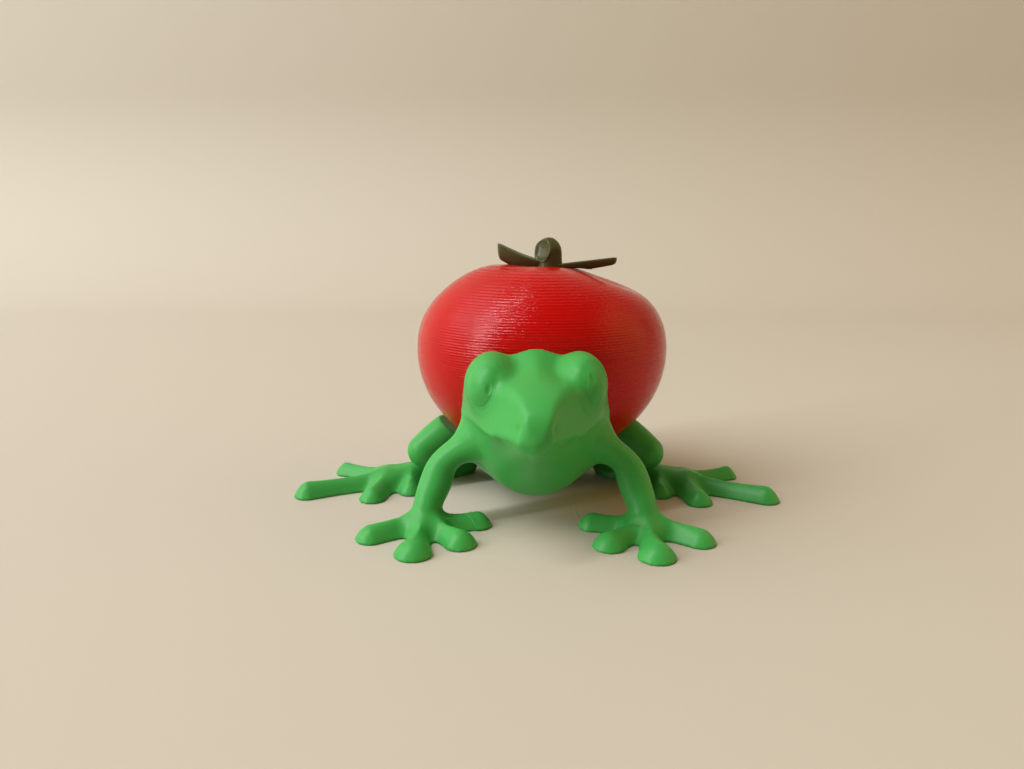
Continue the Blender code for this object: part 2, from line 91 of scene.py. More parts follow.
# Tomato, as the solid has it
TOMATO_X = 0.7
TOMATO_Y = 5.8
TOMATO_Z = 18.0
TOMATO_RADIUS = 15.5
TOMATO_RISE = 10.6
TOMATO_DROP = 13.7
TOMATO_DIMPLE = 0.8
DIMPLE_RADIUS = 3.0
FURROWS_DEG = (88, 168, 236, 336)
FURROW_DEPTHS = (1.0, 0.7, 0.7, 0.2)
FURROW_WIDTH_DEG = 24.0
FURROW_REACH = 0.5
FURROW_SPAN = 0.24
SHOULDER_LIFT = 0.5
FRONT_LIFT = 0.42
FRONT_LIFT_DEG = (8.0, 45.0)
BOTTOM_FLAT = 0.9
UPPER_POWER = 2.25
TOMATO_COLUMNS = 180
LAYER = 0.3                    # height of one printed layer
ROWS_PER_LAYER = 6
POLE_STEP = 0.28               # spacing of the rows near the poles
POLE_INSET = 0.3               # steps left out at each pole
BEAD_DEPTH = 0.06
BEAD_WANDER = 0.35             # share by which the beads swell and fade round the tomato
WANDER_WAVES = ((3, 5.1), (7, -2.3))   # each wave's turns round the tomato and radians up each millimetre
TERRACE = 0.65                 # how flat the terraces of the shallow top are
RISER = 0.5                    # share of a terrace that its front edge takes
CRISP_DEG = (-35.0, 50.0)      # middle and spread of the side on which the terraces are crisp
CRISP_LEAST = 0.1              # share of them that is left on the far side

# Skin
SKIN_STEP = 0.16               # spacing of the grid that the skin is worked out on
SKIN_LOW = (-31.2, -22.4, -0.48)
SKIN_HIGH = (31.2, 19.4, 21.6)
SKIN_TRIANGLES = 185000
SKIN_FAR = 5.0                 # distance that an empty grid starts from
SKIN_MARGIN = 0.6              # reach of a shape past its own box, on top of its fillet
SLOPE_RANGE = (0.5, 4.0)       # a distance is divided by its own slope, kept between these
RELAX_ROUNDS = 3
SOLE_LEVEL = 0.02              # points below this stay at their height, as the sole's flats
# Fillets where each shape meets what is there already
THROAT_BLEND = 0.1
TRUNK_BLEND = 1.2
SHOULDER_BLEND = 1.0
ARM_BLEND = 1.2
PALM_BLEND = 0.6
THIGH_BLEND = 0.8
SHIN_BLEND = 0.5
HEEL_BLEND = 0.6
TOE_BLEND = 0.9
SKULL_BLEND = 1.1
BROW_BLEND = 1.0
TOMATO_BLEND = 0.12
TOMATO_GAP = 0.06              # the skin stops this far from the tomato's plain shape
RING_LEAST = 0.02              # smallest half size of a ring
TINY = 1e-6                    # keeps divisions finite

# Skull: stations from the snout to the nape, with half widths at the lip and at the top edge, the height
# of the middle ridge, the depth and place of the two valleys beside it, and the height of the lip
SKULL_Y = (-20.9, -20.6, -20.0, -19.0, -18.0, -17.0, -16.0, -15.0, -13.0, -11.0, -9.0, -7.0, -5.0, -3.0)
LIP_WIDTH = (0.0, 1.15, 1.75, 2.5, 3.15, 3.8, 4.4, 4.9, 5.8, 6.7, 7.45, 7.95, 8.15, 8.1)
TOP_WIDTH = (0.0, 1.15, 1.45, 1.75, 2.15, 2.6, 3.1, 3.6, 4.5, 4.9, 5.2, 5.4, 5.4, 5.2)
RIDGE_TOP = (13.4, 15.0, 15.85, 16.55, 17.05, 17.45, 17.8, 18.12, 18.8, 19.65, 20.7, 20.85, 20.6, 19.7)
VALLEY = (0.0, 0.0, 0.0, 0.0, 0.0, 0.0, 0.0, 0.1, 0.35, 0.4, 0.2, 0.1, 0.0, 0.0)
VALLEY_X = (1.9, 1.9, 1.9, 1.9, 1.9, 1.9, 1.9, 1.9, 2.0, 2.3, 2.7, 3.0, 3.0, 3.0)
LIP_HEIGHT = (12.95, 12.85, 12.8, 12.8, 12.65, 12.5, 12.45, 12.45, 12.65, 12.9, 12.95, 12.9, 12.9, 12.9)
VALLEY_WIDTHS = (1.6, 1.3)     # of its inner and its outer slope
CROWN_BEND = 0.06              # how fast the top falls away from the middle
EDGE_ROUND = (0.5, 0.95)       # rounding between the snout's top and sides, at the nose and by the eyes
EDGE_ROUND_Y = (-20.0, 4.0)    # where it starts to grow, and over what length
LIP_ROUND = 0.6
TOP_SHARE = 0.9                # true distance for each unit of height under the sloping top
ROUND_FROM = -16.5             # the snout's sides are flat in front of this, and rounded behind ROUND_TO
ROUND_TO = -11.0
ROUND_POWER = 3.1
ROUND_SWELL = 0.25             # the rounded sides are this much wider at the lip
UNDERCUT = 0.8                 # run of the jaw's flank under the lip for each unit of its fall
JAW_START = 4.4                # the jaw deepens from this far behind the nose, at this slope, so far
JAW_SLOPE = 0.6
JAW_DEPTH = 3.0
SKULL_LOW = (-8.7, -21.5, 7.0)
SKULL_HIGH = (8.7, -3.0, 21.2)
HEAD_TURN = 0.038              # the head looks this much (radians) towards its left, about HEAD_PIVOT_Y
HEAD_PIVOT_Y = -9.0
NECK_FADE_Y = (-5.0, 3.0)      # the turn starts here and is full this much further forwards
NECK_FADE_Z = (12.0, 5.0)      # and likewise upwards

# Throat and chest under the jaw, with the powers of the rings' upper and lower halves (2 is an ellipse)
THROAT_Y = (-20.5, -19.9, -18.0, -15.5, -13.0, -10.5, -8.0, -5.5, -3.0)
THROAT_WIDTH = (0.0, 1.4, 2.35, 3.45, 4.8, 6.3, 7.3, 7.8, 7.7)
THROAT_MIDDLE = (12.4, 12.4, 12.3, 12.0, 11.7, 11.6, 11.6, 11.5, 11.5)
THROAT_TOP = (12.4, 13.4, 13.8, 14.3, 14.8, 14.8, 14.8, 14.8, 14.5)
THROAT_BOTTOM = (12.4, 11.4, 10.4, 8.9, 6.8, 4.3, 3.6, 3.8, 4.3)
THROAT_UPPER_POWER = 2.2
THROAT_POWER = (1.6, 1.6, 1.6, 1.6, 1.7, 1.9, 2.1, 2.1, 2.1)

# Trunk under the tomato
TRUNK_Y = (-9.5, -8.5, -5.0, -1.0, 4.0, 8.5, 12.0, 15.0, 17.0, 18.2, 18.6)
TRUNK_WIDTH = (0.0, 6.2, 6.8, 7.3, 8.2, 8.5, 7.6, 5.8, 3.9, 2.0, 0.0)
TRUNK_MIDDLE = (8.0, 8.0, 8.2, 7.6, 6.8, 6.4, 5.6, 5.2, 4.9, 5.0, 5.0)
TRUNK_TOP = (8.0, 13.3, 12.6, 10.4, 9.8, 9.8, 9.4, 8.6, 7.3, 6.3, 5.0)
TRUNK_BOTTOM = (8.0, 6.5, 4.7, 3.3, 1.8, 0.2, -0.6, -0.3, 1.4, 3.3, 5.0)
TRUNK_UPPER_POWER = 2.3
TRUNK_LOWER_POWER = 3.2

# Limbs of the frog's left side
SHOULDER_BALL = (5.9, -7.4, 10.8)
SHOULDER_SIZE = (2.5, 2.6, 2.9)
ARM = ((6.2, -8.4, 10.1), (8.7, -8.5, 8.6), (10.5, -8.5, 6.7), (11.05, -8.9, 5.2), (11.7, -9.9, 3.5),
       (12.1, -10.9, 1.5))
ARM_RADII = (2.3, 1.55, 1.65, 1.8, 1.65, 1.6)
PALM = (12.15, -11.1, 0.7)
PALM_SIZE = (2.6, 2.3, 1.8)
# Each finger or toe: root, tip, half widths on the floor and heights at root, middle and tip
FINGERS = (((12.9, -10.9), (17.65, -13.3), (1.7, 1.5, 1.9), (3.1, 2.3, 1.75)),
           ((12.2, -11.5), (12.5, -17.2), (1.5, 1.45, 2.2), (2.5, 1.9, 1.8)),
           ((11.5, -11.2), (7.95, -14.6), (1.6, 1.45, 2.0), (2.5, 2.0, 1.85)),
           ((11.2, -10.5), (6.45, -9.2), (1.6, 1.4, 1.75), (2.6, 2.0, 1.9)))
THIGH = ((5.0, 9.6, 7.2), (9.8, 7.0, 7.3), (14.4, 4.2, 4.9))
THIGH_RADII = (2.8, 2.6, 1.95)
SHIN = ((14.3, 4.6, 4.4), (11.8, 7.6, 3.4), (9.8, 10.3, 2.2))
SHIN_RADII = (1.9, 2.0, 1.9)
HEEL = (9.9, 10.4, 1.2)
HEEL_SIZE = (2.1, 1.8, 1.7)
SOLE = ((11.0, 9.8), (18.9, 4.7), (2.0, 2.7, 3.3), (2.8, 2.55, 2.25))
TOES = (((16.2, 6.0), (15.75, 1.4), (1.6, 1.5, 1.6), (2.2, 1.95, 1.75)),
        ((19.0, 4.0), (20.0, -1.15), (1.8, 1.7, 1.8), (2.2, 1.95, 1.8)),
        ((19.4, 4.4), (28.3, -0.1), (2.0, 1.6, 1.85), (2.3, 1.95, 2.05)),
        ((19.2, 5.9), (25.6, 8.8), (1.8, 1.3, 1.5), (2.2, 1.8, 1.85)))
TOE_SLOPE = 0.6                # run of a toe's side for each unit of its rise
TOE_ROUND = 1.1                # rounding between its side and its top
TOE_CROWN = 0.25               # fall of its top towards the edge
LIMB_STEPS = 9                 # rods for each stretch between two of a limb's points

# Eyes: the swelling over each eye, the middle of its disc, the way it faces, and its pupil on each side
BROW = (4.8, -10.4, 16.7)
BROW_SIZE = (2.85, 4.0, 3.4)
EYES = {1: (5.9, -12.6, 16.95), -1: (-5.6, -12.9, 16.95)}
EYE_RADII = (2.05, 2.4)        # level and upright
EYE_OUT = (0.67, -0.74, 0.05)
EYE_BULGE = 0.10
EYE_DROP = 0.15                # how far the disc's rim lies behind the skin round it
EYE_GROOVE = 0.10
EYE_GROOVE_WIDTH = 0.24
EYE_GROOVE_FROM = 0.78         # share of the disc's radius from which it falls into the groove
EYE_SINK = 0.45                # how far the skin is pressed in behind the eye
EYE_SINK_EDGE = (0.3, 0.06)    # how far inside the rim that hollow ends, and how softly
EYE_REACH = 2.5                # skin farther than this from the eye's disc is left alone
EYE_FACING = 0.1               # and so is skin that faces away from the eye's direction
EYE_SEARCH = (2.6, -1.4, 201)  # where the head's surface is looked for: from, to and steps
EYE_SKIRT = (0.1, 0.2, 0.3)    # rings under the rim that close the disc to the skin
EYE_RINGS = ((0.01, 0.9, 30), (0.92, 1.0, 8))
EYE_COLUMNS = 96
PUPILS = {1: (-0.95, 0.95), -1: (-1.4, 0.0)}
PUPIL_RADII = (0.24, 0.5)
PUPIL_DEPTH = 0.14
NOSTRIL = (1.9, -19.9, 14.2)
NOSTRIL_RADIUS = 0.4
NOSTRIL_DEPTH = 0.13

# Fine threads that the printing left: start, middle and end of each
THREADS = (((4.0, -7.6, 19.6), (4.3, -7.65, 20.3), (4.25, -7.7, 20.75)),
           ((2.3, -7.0, 19.9), (1.95, -7.1, 20.6), (1.85, -7.2, 20.9)),
           ((-7.9, -9.7, 1.8), (-6.9, -11.3, 1.6), (-6.3, -12.1, 0.7)),
           ((-7.2, -9.2, 1.6), (-7.1, -10.0, 1.95), (-6.5, -10.6, 0.9)),
           ((5.3, -9.7, 0.7), (4.85, -9.7, 1.6), (4.45, -9.6, 2.5)),
           ((-9.9, -12.4, 2.0), (-9.0, -11.6, 1.95), (-8.7, -10.6, 1.7)),
           ((9.6, -12.8, 2.0), (10.6, -12.9, 1.9), (11.4, -13.1, 1.9)))
THREAD_RADIUS = 0.035
THREAD_ROWS = 24
THREAD_COLUMNS = 8
THREAD_BESIDE = (0.6, 0.0, 0.8)    # a direction that no thread follows

# Calyx: middle, and each leaf's direction in degrees, length, heights of its upper face at root, middle and
# tip over the middle, half width, and depths at root, middle and tip
CALYX = (1.5, 6.0, 28.1)
LEAVES = ((-96, 6.35, (0.35, 1.25, 2.75), 1.4, (0.8, 1.7, 1.75)),
          (82, 8.4, (0.0, 0.5, 1.1), 1.05, (0.6, 0.85, 0.7)),
          (106, 5.7, (0.0, -0.1, -0.5), 1.1, (0.5, 0.6, 0.5)),
          (150, 6.4, (0.1, -0.1, -0.6), 1.0, (0.5, 0.6, 0.5)),
          (-156, 6.2, (0.1, 0.0, -0.3), 1.0, (0.5, 0.6, 0.5)))
LEAF_CUP = 0.22                # rise of a leaf's edges over its middle
LEAF_CREST = 0.10              # thickness of its rounded upper face
LEAF_VEIN = (0.06, 0.14)       # depth and half width of the groove along its middle
LEAF_SHAPE = (0.75, 1.1, -1.25)    # p, q and r of its half width
LEAF_TIP = 0.07                # share of its length over which the tip is rounded off
LEAF_TIP_DEPTH = 0.4           # share of its depth that is left at the tip
LEAF_EDGE_THIN = 0.25          # share of its depth that is lost towards the edges
LEAF_EVEN_ROWS = (0.94, 48)    # even rows up to this share of its length
LEAF_TIP_ROWS = (0.06, 9)      # and rows that crowd together over the last share
LEAF_COLUMNS = 40
LEAF_SUNK = (0.15, 0.22)       # the most that its two faces lie under the tomato's surface
# Stem: middles of its rings, the way each faces, and its radii across and along the way up
STEM = ((1.55, 6.2, 27.6), (1.55, 6.15, 28.6), (1.6, 6.0, 29.6), (1.55, 5.8, 30.2), (1.2, 5.5, 30.35),
        (0.75, 5.15, 30.1))
STEM_FACING = ((0.0, 0.0, 1.0), (0.0, 0.0, 1.0), (-0.15, -0.1, 1.0), (-0.4, -0.4, 0.85), (-0.6, -0.65, 0.5),
               (-0.65, -0.72, 0.25))
STEM_ACROSS = (1.85, 1.7, 1.6, 1.55, 1.45, 1.3)
STEM_ALONG = (1.85, 1.7, 1.6, 1.5, 1.5, 1.5)
STEM_AHEAD = (-0.67, -0.74, 0.3)   # the way the stem leans
STEM_BESIDE = (0.74, -0.67, 0.0)
STEM_ROWS = 70
STEM_COLUMNS = 64
STEM_LUMPS = (0.03, 5, 0.7)    # height, number and start of the ribs along it
# Rings of the cut end: share of the last ring's girth, and way past it
STEM_END = ((0.96, 0.07), (0.90, 0.08), (0.82, 0.02), (0.55, -0.12), (0.25, -0.18))


def spline(knots, values, at):
    """Natural cubic spline: between two knots a cubic whose second slope m varies evenly,
    v = (m0 (x1-x)^3 + m1 (x-x0)^3) / 6h + straight terms, with m = 0 at both ends."""
    x = np.asarray(knots, float)
    y = np.asarray(values, float)
    n = len(x)
    h = np.diff(x)
    system = np.eye(n)
    right = np.zeros(n)
    inner = np.arange(1, n - 1)
    system[inner, inner - 1] = h[:-1]
    system[inner, inner] = 2 * (h[:-1] + h[1:])
    system[inner, inner + 1] = h[1:]
    right[inner] = 6 * (np.diff(y)[1:] / h[1:] - np.diff(y)[:-1] / h[:-1])
    m = np.linalg.solve(system, right)
    at = np.clip(np.asarray(at, float), x[0], x[-1])
    k = np.clip(np.searchsorted(x, at) - 1, 0, n - 2)
    a = (x[k + 1] - at) / h[k]
    b = 1 - a
    return a * y[k] + b * y[k + 1] + ((a ** 3 - a) * m[k] + (b ** 3 - b) * m[k + 1]) * h[k] ** 2 / 6


def smooth_min(a, b, blend):
    """The lesser of two distances, with a fillet of the given width: min(a, b) - blend t (1 - t)."""
    t = np.clip(0.5 + 0.5 * (a - b) / blend, 0, 1)
    return a + (b - a) * t - blend * t * (1 - t)


def smooth_max(a, b, blend):
    return -smooth_min(-a, -b, blend)


def ease(t):
    """Soft step from 0 at t = 0 to 1 at t = 1: t^2 (3 - 2 t)."""
    t = np.clip(t, 0, 1)
    return t * t * (3 - 2 * t)


def curve(knots, rows, at):
    """Splines through the columns of the rows, side by side."""
    return np.stack([spline(knots, column, at) for column in np.transpose(rows)], axis=1)


def unit(rows):
    return rows / np.linalg.norm(rows, axis=1, keepdims=True)


def full_turn(columns):
    return np.linspace(0, 2 * np.pi, columns, endpoint=False)


def summed(index, rows, count):
    """Sum of the rows that share an index, for each index below the count."""
    return np.stack([np.bincount(index, rows[:, i], count) for i in range(3)], axis=1)


class Clay:
    """Distance field on a grid over half of the frog (x >= 0), into which shapes are blended."""

    def __init__(self):
        low = np.array(SKIN_LOW)
        high = np.array(SKIN_HIGH)
        low[0] = 0.0
        counts = np.ceil((high - low) / SKIN_STEP).astype(int) + 1
        self.axes = [low[i] + SKIN_STEP * np.arange(counts[i]) for i in range(3)]
        self.field = np.full(counts, SKIN_FAR, np.float32)

    def block(self, low, high):
        """Slices of the grid between two corners, and the open coordinate arrays there."""
        slices = []
        for axis, a, b in zip(self.axes, low, high):
            start, stop = np.searchsorted(axis, (a, b))
            slices.append(slice(max(start, 0), min(stop + 1, len(axis))))
        x, y, z = (axis[s] for axis, s in zip(self.axes, slices))
        return tuple(slices), x[:, None, None], y[None, :, None], z[None, None, :]

    def add(self, low, high, distance, blend):
        """Blend a shape in: its distance, evened out by its own slope, under a smooth minimum."""
        margin = blend + SKIN_MARGIN
        slices, x, y, z = self.block(np.array(low) - margin, np.array(high) + margin)
        if self.field[slices].size:
            away = distance(x, y, z)
            slope = np.sqrt(sum(g ** 2 for g in np.gradient(away, SKIN_STEP)))
            away = away / np.clip(slope, *SLOPE_RANGE)
            self.field[slices] = smooth_min(self.field[slices], away, blend)

    def carve(self, distance, blend):
        """Cut a shape out of the whole grid with a smooth maximum."""
        slices, x, y, z = self.block(SKIN_LOW, np.array(SKIN_HIGH) + SKIN_STEP)
        self.field[slices] = smooth_max(self.field[slices], -distance(x, y, z), blend)

    def at(self, points):
        """Field at points, evened between the grid's corners (the other half is the mirror image)."""
        low = np.array([axis[0] for axis in self.axes])
        place = (np.abs(points * (1, 0, 0)) + points * (0, 1, 1) - low) / SKIN_STEP
        place = np.clip(place, 0, np.array(self.field.shape) - 1.001)
        cell = place.astype(int)
        part = place - cell
        total = 0.0
        for corner in np.ndindex(2, 2, 2):
            weight = np.prod(np.where(corner, part, 1 - part), axis=-1)
            total = total + weight * self.field[tuple(np.moveaxis(cell + corner, -1, 0))]
        return total


def ellipsoid(centre, size):
    """Distance to an ellipsoid: k0 (k0 - 1) / k1, with k0 = |p / r| and k1 = |p / r^2|."""
    def distance(x, y, z):
        px, py, pz = x - centre[0], y - centre[1], z - centre[2]
        k0 = np.sqrt((px / size[0]) ** 2 + (py / size[1]) ** 2 + (pz / size[2]) ** 2) + TINY
        k1 = np.sqrt((px / size[0] ** 2) ** 2 + (py / size[1] ** 2) ** 2 + (pz / size[2] ** 2) ** 2) + TINY
        return k0 * (k0 - 1) / k1
    return np.subtract(centre, size), np.add(centre, size), distance


def limb(points, radii):
    """Distance to a round limb: the nearest of many short tapering rods along a spline."""
    knots = np.concatenate([[0], np.cumsum(np.linalg.norm(np.diff(points, axis=0), axis=1))])
    at = np.linspace(0, knots[-1], LIMB_STEPS * (len(points) - 1) + 1)
    path = curve(knots, points, at)
    girth = spline(knots, radii, at)

    def distance(x, y, z):
        best = None
        for a, b, ra, rb in zip(path, path[1:], girth, girth[1:]):
            along = b - a
            t = ((x - a[0]) * along[0] + (y - a[1]) * along[1] + (z - a[2]) * along[2]) / (along @ along)
            t = np.clip(t, 0, 1)
            away = np.sqrt((x - a[0] - t * along[0]) ** 2 + (y - a[1] - t * along[1]) ** 2
                           + (z - a[2] - t * along[2]) ** 2) - (ra + t * (rb - ra))
            best = away if best is None else np.minimum(best, away)
        return best
    reach = girth.max()
    return path.min(axis=0) - reach, path.max(axis=0) + reach, distance


def ringed(stations, width, middle, top, bottom, upper_power, lower_power):
    """Distance to a body of rounded rings along Y. In a ring, q = (|x/w|^n + |z/h|^n)^(1/n) and the
    distance is r (1 - 1/q), with r the way from the ring's middle."""
    stations = np.array(stations)
    length = stations[-1] - stations[0]
    knots = np.sqrt((stations - stations[0]) / length)

    def distance(x, y, z):
        u = np.sqrt(np.clip((y - stations[0]) / length, 0, 1))
        w = np.maximum(spline(knots, width, u), RING_LEAST)
        mid = spline(knots, middle, u)
        up = np.maximum(spline(knots, top, u) - mid, RING_LEAST)
        down = np.maximum(mid - spline(knots, bottom, u), RING_LEAST)
        dz = z - mid
        high = dz > 0
        tall = np.where(high, up, down)
        under = spline(knots, lower_power, u) if np.ndim(lower_power) else lower_power
        power = np.where(high, upper_power, under)
        q = ((np.abs(x) / w) ** power + (np.abs(dz) / tall) ** power) ** (1 / power) + TINY
        r = np.sqrt(x ** 2 + dz ** 2)
        beyond = np.maximum(stations[0] - y, y - stations[-1])
        side = r * (1 - 1 / q)
        return np.where(beyond > 0, np.sqrt(np.maximum(side, 0) ** 2 + beyond ** 2), side)
    reach = max(width) + 0.3
    low = np.array((-reach, stations[0], min(bottom)))
    high = np.array((reach, stations[-1], max(top)))
    return low, high, distance


def tomato_surface(direction):
    """Point of the tomato in a direction from its middle, and its share of the radius.
    Level = z^(2/n) of the height, reach = r^(2/n) of the radius, less the furrows between the lobes."""
    dx, dy, dz = direction
    ring = np.sqrt(dx ** 2 + dy ** 2)
    upper = dz > 0
    power = np.where(upper, 2 / UPPER_POWER, 1.0)
    level = np.sign(dz) * np.abs(dz) ** power
    reach = ring ** power
    turn = np.arctan2(dx, -dy)
    sink = SHOULDER_LIFT * np.sin(turn)
    for furrow, depth in zip(FURROWS_DEG, FURROW_DEPTHS):
        away = np.degrees(np.angle(np.exp(1j * (turn - math.radians(furrow)))))
        sink = sink + depth * np.exp(-(away / FURROW_WIDTH_DEG) ** 2)
    ahead = (np.degrees(turn) - FRONT_LIFT_DEG[0]) / FRONT_LIFT_DEG[1]
    sink = sink - FRONT_LIFT * np.exp(-ahead ** 2)
    fade = np.where(upper, np.exp(-((reach - FURROW_REACH) / FURROW_SPAN) ** 2), 0.0)
    dimple = np.where(upper, TOMATO_DIMPLE * np.exp(-(reach * TOMATO_RADIUS / DIMPLE_RADIUS) ** 2), 0.0)
    height = np.where(upper, TOMATO_RISE, TOMATO_DROP)
    up = np.maximum(height * level - sink * fade - dimple, -TOMATO_DROP + BOTTOM_FLAT)
    across = TOMATO_RADIUS * reach / np.maximum(ring, TINY)
    return np.stack([TOMATO_X + across * dx, TOMATO_Y + across * dy, TOMATO_Z + up], axis=-1)


def tomato_distance(x, y, z):
    """Rough distance to the tomato: r (1 - 1/q) from its middle, with q as for the rings."""
    dx, dy, dz = x - TOMATO_X, y - TOMATO_Y, z - TOMATO_Z
    ring = np.sqrt(dx ** 2 + dy ** 2)
    power = np.where(dz > 0, UPPER_POWER, 2.0)
    height = np.where(dz > 0, TOMATO_RISE, TOMATO_DROP)
    q = ((ring / TOMATO_RADIUS) ** power + (np.abs(dz) / height) ** power) ** (1 / power) + TINY
    round_part = np.sqrt(ring ** 2 + dz ** 2) * (1 - 1 / q)
    return np.maximum(round_part, (TOMATO_Z - TOMATO_DROP + BOTTOM_FLAT) - z)


def toe(root, tip, widths, heights):
    """Distance to a finger or toe that lies on the floor: sloping sides round a straight spine and a
    nearly flat top, max(side, top) with a soft edge; t runs from root to tip and r is the plan distance."""
    root = np.array(root)
    tip = np.array(tip)
    along = tip - root

    def distance(x, y, z):
        t = np.clip(((x - root[0]) * along[0] + (y - root[1]) * along[1]) / (along @ along), 0, 1)
        r = np.sqrt((x - root[0] - t * along[0]) ** 2 + (y - root[1] - t * along[1]) ** 2)
        half = spline((0, 0.5, 1), widths, t)
        tall = spline((0, 0.5, 1), heights, t)
        side = (r - half + TOE_SLOPE * z) / math.sqrt(1 + TOE_SLOPE ** 2)
        top = z - tall + TOE_CROWN * (r / half) ** 2
        return smooth_max(side, top, TOE_ROUND)
    reach = max(widths)
    low = np.array((*(np.minimum(root, tip) - reach), 0))
    high = np.array((*(np.maximum(root, tip) + reach), max(heights)))
    return low, high, distance


def skull(x, y, z):
    """Distance to the skull: under the top z = ridge - valley - shoulder slope, between sides that lean in
    from the lip to the top edge and again below the lip."""
    u = np.sqrt((np.clip(y, SKULL_Y[0], SKULL_Y[-1]) - SKULL_Y[0]) / (SKULL_Y[-1] - SKULL_Y[0]))
    knots = np.sqrt((np.array(SKULL_Y) - SKULL_Y[0]) / (SKULL_Y[-1] - SKULL_Y[0]))
    ridge = spline(knots, RIDGE_TOP, u)
    lip = spline(knots, LIP_HEIGHT, u)
    wide = spline(knots, LIP_WIDTH, u)
    narrow = spline(knots, TOP_WIDTH, u)
    across = np.abs(x)
    beside = across - spline(knots, VALLEY_X, u)
    beside = beside / np.where(beside < 0, *VALLEY_WIDTHS)
    top = ridge - spline(knots, VALLEY, u) * np.exp(-beside ** 2) - CROWN_BEND * across ** 2
    share = np.clip((z - lip) / np.maximum(ridge - lip, 0.3), 0, 1)
    flat_side = wide + (narrow - wide) * share
    round_side = (wide + ROUND_SWELL) * (1 - np.minimum(share, 0.98) ** ROUND_POWER) ** (1 / ROUND_POWER)
    turn = ease((y - ROUND_FROM) / (ROUND_TO - ROUND_FROM))
    side = across - (flat_side + (round_side - flat_side) * turn) + UNDERCUT * np.maximum(lip - z, 0)
    side = np.where(y < SKULL_Y[0], np.hypot(np.maximum(side, 0), SKULL_Y[0] - y), side)
    growth = np.clip((y - EDGE_ROUND_Y[0]) / EDGE_ROUND_Y[1], 0, 1)
    soft = EDGE_ROUND[0] + (EDGE_ROUND[1] - EDGE_ROUND[0]) * growth
    shell = smooth_max(side, (z - top) * TOP_SHARE, soft)
    shell = np.where(y > SKULL_Y[-1], np.maximum(shell, y - SKULL_Y[-1]), shell)
    deep = np.clip(JAW_SLOPE * (y - SKULL_Y[0] - JAW_START), 0, JAW_DEPTH)
    return smooth_max(shell, lip - deep - z, LIP_ROUND)


def frog_clay():
    """The whole frog in the grid: head, chest, trunk and the limbs of one side, floor and tomato cut away."""
    clay = Clay()
    clay.add(*ringed(THROAT_Y, THROAT_WIDTH, THROAT_MIDDLE, THROAT_TOP, THROAT_BOTTOM,
                     THROAT_UPPER_POWER, THROAT_POWER), THROAT_BLEND)
    clay.add(*ringed(TRUNK_Y, TRUNK_WIDTH, TRUNK_MIDDLE, TRUNK_TOP, TRUNK_BOTTOM,
                     TRUNK_UPPER_POWER, TRUNK_LOWER_POWER), TRUNK_BLEND)
    clay.add(*ellipsoid(SHOULDER_BALL, SHOULDER_SIZE), SHOULDER_BLEND)
    clay.add(*limb(ARM, ARM_RADII), ARM_BLEND)
    clay.add(*ellipsoid(PALM, PALM_SIZE), PALM_BLEND)
    for finger in FINGERS:
        clay.add(*toe(*finger), TOE_BLEND)
    clay.add(*limb(THIGH, THIGH_RADII), THIGH_BLEND)
    clay.add(*limb(SHIN, SHIN_RADII), SHIN_BLEND)
    clay.add(*ellipsoid(HEEL, HEEL_SIZE), HEEL_BLEND)
    clay.add(*toe(*SOLE), HEEL_BLEND)
    for hind_toe in TOES:
        clay.add(*toe(*hind_toe), TOE_BLEND)
    clay.add(SKULL_LOW, SKULL_HIGH, skull, SKULL_BLEND)
    clay.add(*ellipsoid(BROW, BROW_SIZE), BROW_BLEND)
    clay.carve(lambda x, y, z: tomato_distance(x, y, z) - TOMATO_GAP, TOMATO_BLEND)
    clay.field = np.maximum(clay.field, -clay.axes[2][None, None, :])
    return clay


def skin_of(clay):
    """Closed mesh where the field is zero: a point in each crossed cell at the mean of the crossings
    of its edges, and a four-sided face round each crossed grid edge."""
    field = np.concatenate([clay.field[:0:-1], clay.field], axis=0)
    origin = np.array([-clay.axes[0][-1], clay.axes[1][0], clay.axes[2][0]])
    cells, places, flips = [], [], []
    for axis in range(3):
        a = field[tuple(slice(None, -1) if i == axis else slice(None) for i in range(3))]
        b = field[tuple(slice(1, None) if i == axis else slice(None) for i in range(3))]
        crossed = np.argwhere((a < 0) != (b < 0))
        u, v = (axis + 1) % 3, (axis + 2) % 3
        keep = (crossed[:, u] > 0) & (crossed[:, v] > 0)
        crossed = crossed[keep]
        va = a[tuple(crossed.T)]
        vb = b[tuple(crossed.T)]
        place = crossed.astype(float)
        place[:, axis] += va / (va - vb)
        corner = np.repeat(crossed[:, None, :], 4, axis=1)
        corner[:, (0, 3), u] -= 1
        corner[:, (0, 1), v] -= 1
        cells.append(corner)
        places.append(place)
        flips.append(va >= 0)
    cells = np.concatenate(cells)
    places = np.concatenate(places)
    flips = np.concatenate(flips)
    keys = np.ravel_multi_index(tuple(cells.reshape(-1, 3).T), field.shape)
    _, index = np.unique(keys, return_inverse=True)
    index = index.reshape(-1, 4)
    count = np.bincount(index.ravel())
    points = summed(index.ravel(), np.repeat(places, 4, axis=0), len(count))
    points = origin + SKIN_STEP * points / count[:, None]
    faces = index.copy()
    faces[flips] = faces[flips][:, ::-1]
    return points, faces


def relax(points, faces):
    """Move each point half way to the mean of its neighbours, and keep the sole on the floor."""
    ends = np.concatenate([faces[:, (0, 1)], faces[:, (1, 2)], faces[:, (2, 3)], faces[:, (3, 0)]])
    one, other = ends[:, 0], ends[:, 1]
    total = len(points)
    count = np.bincount(one, minlength=total) + np.bincount(other, minlength=total)
    sole = points[:, 2] < SOLE_LEVEL
    for _ in range(RELAX_ROUNDS):
        mean = (summed(one, points[other], total) + summed(other, points[one], total)) / count[:, None]
        moved = points + 0.5 * (mean - points)
        moved[sole, 2] = points[sole, 2]
        points = moved
    return points


